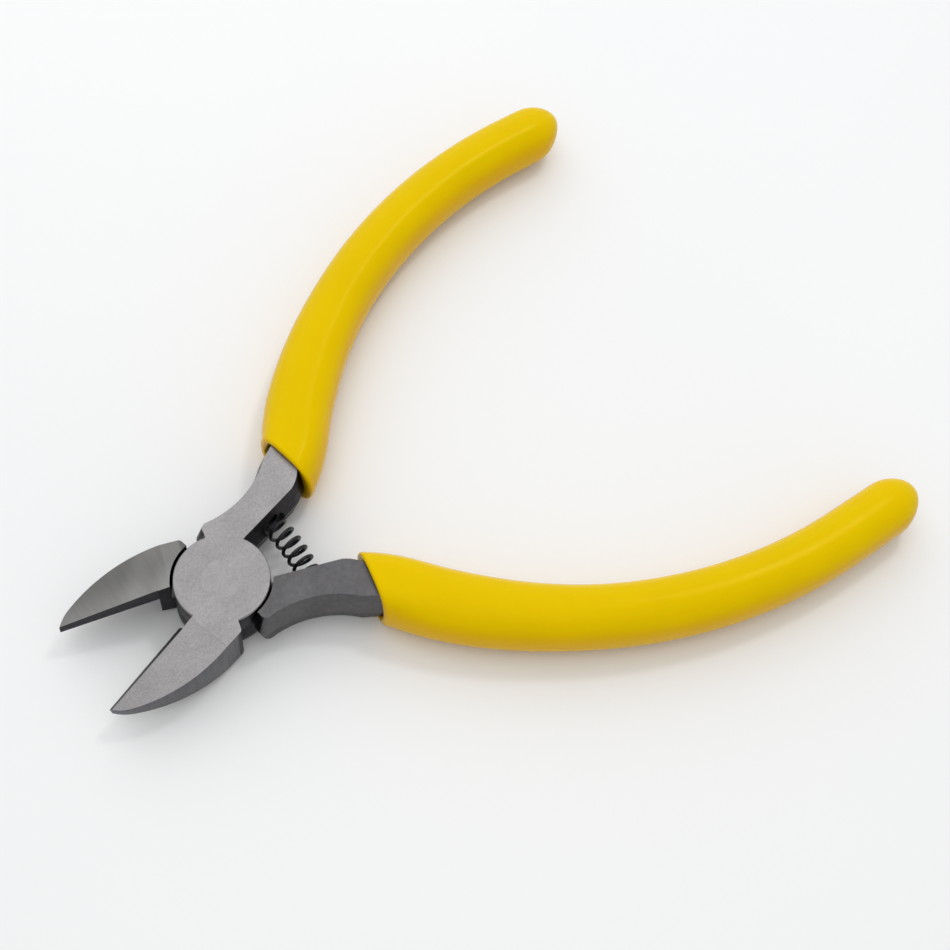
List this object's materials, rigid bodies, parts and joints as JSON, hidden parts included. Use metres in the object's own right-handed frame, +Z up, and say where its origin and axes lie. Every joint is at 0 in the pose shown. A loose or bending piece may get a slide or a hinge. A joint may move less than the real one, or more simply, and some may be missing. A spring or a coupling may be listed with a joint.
{
  "type": "flush cutter",
  "caption": "Small flush cutter: forged steel levers in a lap joint with a flush rivet, a coil spring that holds the jaws open, and dipped vinyl grips.",
  "frame": {"origin": "on the pivot axis, in the lower ground face of the lap joint", "axes": "+Z up along the pivot axis, +X along the centre line towards the handles, so the jaws point to -X and the top lever's handle lies on +Y"},
  "size_m": [0.1228, 0.0996, 0.0104],
  "materials": {
    "ground_steel": "ground flat faces, dark forged sides",
    "rivet_steel": "ground flush",
    "spring_wire": "blackened",
    "yellow_vinyl": "soft gloss, dipped"
  },
  "bodies": {
    "top_half": {"top_lever": "ground_steel", "pivot_rivet": "rivet_steel", "return_spring": "spring_wire", "top_lever_grip": "yellow_vinyl"},
    "bottom_half": {"bottom_lever": "ground_steel", "bottom_lever_grip": "yellow_vinyl"}
  },
  "joints": [
    {"name": "pivot", "type": "hinge", "parent": "top_half", "child": "bottom_half", "pos_m": [0, 0, 0.004], "axis": [0, 0, 1], "range_deg": [-14, 34.2], "stiffness_Nm_per_rad": 0.25, "deforming": ["return_spring"]}
  ]
}
